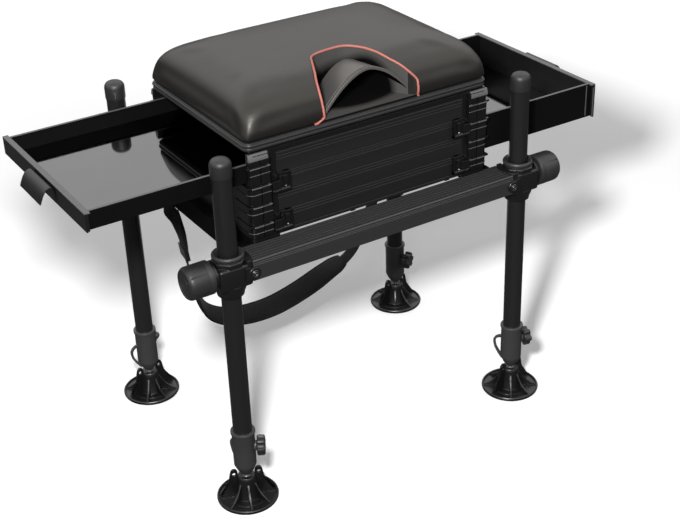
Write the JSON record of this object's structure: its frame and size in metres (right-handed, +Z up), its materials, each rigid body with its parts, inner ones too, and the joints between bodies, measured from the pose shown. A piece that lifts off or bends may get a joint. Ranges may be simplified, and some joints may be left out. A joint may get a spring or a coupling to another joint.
{
  "type": "fishing seat box",
  "caption": "Padded seat on stacked tray modules, carried by two ribbed rails and sliding adjustable legs with tilting mud feet, with side tray, side drawer and shoulder strap.",
  "frame": {"origin": "on the ground, at the middle of the whole outline seen from above", "axes": "+X along the rails toward the side drawer, +Y to the hinged back of the lid, +Z up"},
  "size_m": [0.952, 0.4546, 0.6633],
  "materials": {
    "black_tube": "matt black anodised tube",
    "black_plastic": "moulded, fine grain",
    "ribbed_rail": "dark anodised extrusion",
    "panel_metal": "black anodised, grooved",
    "glossy_tray": "smooth glossy black",
    "cap_rubber": "soft push-on cap",
    "leatherette": "grained cover over foam",
    "piping": "coral red braid",
    "webbing": "black woven webbing",
    "hinge_steel": "dark steel"
  },
  "bodies": {
    "frame": {"front_rail": "ribbed_rail", "rear_rail": "ribbed_rail", "left_side_bar": "panel_metal", "right_side_bar": "panel_metal", "clamp_front_left": "black_plastic", "clamp_front_right": "black_plastic", "clamp_rear_left": "black_plastic", "clamp_rear_right": "black_plastic", "base_module": "black_plastic", "base_front_panel": "panel_metal", "base_rear_panel": "panel_metal", "drawer_module": "black_plastic", "drawer_front_panel": "panel_metal", "drawer_rear_panel": "panel_metal", "top_module": "black_plastic", "top_front_panel": "panel_metal", "top_rear_panel": "panel_metal", "hinge_fixed_leaf": "hinge_steel", "hinge_pin": "hinge_steel", "strap_webbing": "webbing", "strap_pad": "webbing", "strap_adjuster": "black_plastic"},
    "lid": {"lid_base": "black_plastic", "seat_cushion": "leatherette", "carry_loop": "leatherette", "cushion_piping": "piping", "hinge_moving_leaf": "hinge_steel"},
    "tray": {"side_tray": "glossy_tray", "side_tray_end": "black_plastic"},
    "drawer": {"side_drawer": "glossy_tray", "side_drawer_end": "black_plastic"},
    "leg_front_left": {"leg_tube_front_left": "black_tube", "leg_cap_front_left": "cap_rubber"},
    "clamp_knob_front_left_body": {"clamp_knob_front_left": "black_plastic"},
    "sleeve_front_left": {"foot_sleeve_front_left": "black_plastic"},
    "foot_knob_front_left_body": {"foot_knob_front_left": "black_plastic"},
    "foot_front_left": {"mud_foot_front_left": "black_plastic"},
    "leg_front_right": {"leg_tube_front_right": "black_tube", "leg_cap_front_right": "cap_rubber"},
    "clamp_knob_front_right_body": {"clamp_knob_front_right": "black_plastic"},
    "sleeve_front_right": {"foot_sleeve_front_right": "black_plastic"},
    "foot_knob_front_right_body": {"foot_knob_front_right": "black_plastic"},
    "foot_front_right": {"mud_foot_front_right": "black_plastic"},
    "leg_rear_left": {"leg_tube_rear_left": "black_tube", "leg_cap_rear_left": "cap_rubber"},
    "clamp_knob_rear_left_body": {"clamp_knob_rear_left": "black_plastic"},
    "sleeve_rear_left": {"foot_sleeve_rear_left": "black_plastic"},
    "foot_knob_rear_left_body": {"foot_knob_rear_left": "black_plastic"},
    "foot_rear_left": {"mud_foot_rear_left": "black_plastic"},
    "leg_rear_right": {"leg_tube_rear_right": "black_tube", "leg_cap_rear_right": "cap_rubber"},
    "clamp_knob_rear_right_body": {"clamp_knob_rear_right": "black_plastic"},
    "sleeve_rear_right": {"foot_sleeve_rear_right": "black_plastic"},
    "foot_knob_rear_right_body": {"foot_knob_rear_right": "black_plastic"},
    "foot_rear_right": {"mud_foot_rear_right": "black_plastic"},
    "latch_upper_left_body": {"latch_upper_left": "black_plastic"},
    "latch_upper_right_body": {"latch_upper_right": "black_plastic"},
    "latch_lower_left_body": {"latch_lower_left": "black_plastic"},
    "latch_lower_right_body": {"latch_lower_right": "black_plastic"}
  },
  "joints": [
    {"name": "lid_hinge", "type": "hinge", "parent": "frame", "child": "lid", "pos_m": [0.011, 0.1576, 0.5748], "axis": [-1, 0, 0], "range_deg": [0, 95]},
    {"name": "tray_slide", "type": "slide", "parent": "frame", "child": "tray", "axis": [1, 0, 0], "range_m": [0, 0.24]},
    {"name": "drawer_slide", "type": "slide", "parent": "frame", "child": "drawer", "axis": [-1, 0, 0], "range_m": [0, 0.218]},
    {"name": "leg_slide_front_left", "type": "slide", "parent": "frame", "child": "leg_front_left", "axis": [0, 0, 1], "range_m": [-0.1, 0.24]},
    {"name": "clamp_knob_turn_front_left", "type": "hinge", "parent": "frame", "child": "clamp_knob_front_left_body", "pos_m": [-0.254, -0.1785, 0.41375], "axis": [-1, 0, 0], "continuous": true},
    {"name": "sleeve_swivel_front_left", "type": "hinge", "parent": "leg_front_left", "child": "sleeve_front_left", "pos_m": [-0.254, -0.1785, 0.09], "axis": [0, 0, 1], "continuous": true},
    {"name": "foot_knob_turn_front_left", "type": "hinge", "parent": "sleeve_front_left", "child": "foot_knob_front_left_body", "pos_m": [-0.254, -0.1785, 0.099], "axis": [0.8572, -0.515, 0], "continuous": true},
    {"name": "foot_tilt_front_left", "type": "hinge", "parent": "sleeve_front_left", "child": "foot_front_left", "pos_m": [-0.254, -0.1785, 0.036], "axis": [0.9397, -0.342, 0], "range_deg": [-18, 18]},
    {"name": "leg_slide_front_right", "type": "slide", "parent": "frame", "child": "leg_front_right", "axis": [0, 0, 1], "range_m": [-0.1, 0.24]},
    {"name": "clamp_knob_turn_front_right", "type": "hinge", "parent": "frame", "child": "clamp_knob_front_right_body", "pos_m": [0.276, -0.1785, 0.41375], "axis": [1, 0, 0], "continuous": true},
    {"name": "sleeve_swivel_front_right", "type": "hinge", "parent": "leg_front_right", "child": "sleeve_front_right", "pos_m": [0.276, -0.1785, 0.09], "axis": [0, 0, 1], "continuous": true},
    {"name": "foot_knob_turn_front_right", "type": "hinge", "parent": "sleeve_front_right", "child": "foot_knob_front_right_body", "pos_m": [0.276, -0.1785, 0.099], "axis": [0.9848, -0.1736, 0], "continuous": true},
    {"name": "foot_tilt_front_right", "type": "hinge", "parent": "sleeve_front_right", "child": "foot_front_right", "pos_m": [0.276, -0.1785, 0.036], "axis": [0.9848, 0.1736, 0], "range_deg": [-18, 18]},
    {"name": "leg_slide_rear_left", "type": "slide", "parent": "frame", "child": "leg_rear_left", "axis": [0, 0, 1], "range_m": [-0.1, 0.24]},
    {"name": "clamp_knob_turn_rear_left", "type": "hinge", "parent": "frame", "child": "clamp_knob_rear_left_body", "pos_m": [-0.254, 0.1785, 0.41375], "axis": [-1, 0, 0], "continuous": true},
    {"name": "sleeve_swivel_rear_left", "type": "hinge", "parent": "leg_rear_left", "child": "sleeve_rear_left", "pos_m": [-0.254, 0.1785, 0.09], "axis": [0, 0, 1], "continuous": true},
    {"name": "foot_knob_turn_rear_left", "type": "hinge", "parent": "sleeve_rear_left", "child": "foot_knob_rear_left_body", "pos_m": [-0.254, 0.1785, 0.099], "axis": [0.6428, 0.766, 0], "continuous": true},
    {"name": "foot_tilt_rear_left", "type": "hinge", "parent": "sleeve_rear_left", "child": "foot_rear_left", "pos_m": [-0.254, 0.1785, 0.036], "axis": [0.9848, 0.1736, 0], "range_deg": [-18, 18]},
    {"name": "leg_slide_rear_right", "type": "slide", "parent": "frame", "child": "leg_rear_right", "axis": [0, 0, 1], "range_m": [-0.1, 0.24]},
    {"name": "clamp_knob_turn_rear_right", "type": "hinge", "parent": "frame", "child": "clamp_knob_rear_right_body", "pos_m": [0.276, 0.1785, 0.41375], "axis": [1, 0, 0], "continuous": true},
    {"name": "sleeve_swivel_rear_right", "type": "hinge", "parent": "leg_rear_right", "child": "sleeve_rear_right", "pos_m": [0.276, 0.1785, 0.09], "axis": [0, 0, 1], "continuous": true},
    {"name": "foot_knob_turn_rear_right", "type": "hinge", "parent": "sleeve_rear_right", "child": "foot_knob_rear_right_body", "pos_m": [0.276, 0.1785, 0.099], "axis": [0.5, -0.866, 0], "continuous": true},
    {"name": "foot_tilt_rear_right", "type": "hinge", "parent": "sleeve_rear_right", "child": "foot_rear_right", "pos_m": [0.276, 0.1785, 0.036], "axis": [0.9848, 0.1736, 0], "range_deg": [-18, 18]},
    {"name": "latch_upper_left_swing", "type": "hinge", "parent": "frame", "child": "latch_upper_left_body", "pos_m": [-0.15, -0.1627, 0.5072], "axis": [1, 0, 0], "range_deg": [0, 95]},
    {"name": "latch_upper_right_swing", "type": "hinge", "parent": "frame", "child": "latch_upper_right_body", "pos_m": [0.172, -0.1627, 0.5072], "axis": [1, 0, 0], "range_deg": [0, 95]},
    {"name": "latch_lower_left_swing", "type": "hinge", "parent": "frame", "child": "latch_lower_left_body", "pos_m": [-0.15, -0.1627, 0.4447], "axis": [1, 0, 0], "range_deg": [0, 95]},
    {"name": "latch_lower_right_swing", "type": "hinge", "parent": "frame", "child": "latch_lower_right_body", "pos_m": [0.172, -0.1627, 0.4447], "axis": [1, 0, 0], "range_deg": [0, 95]}
  ]
}
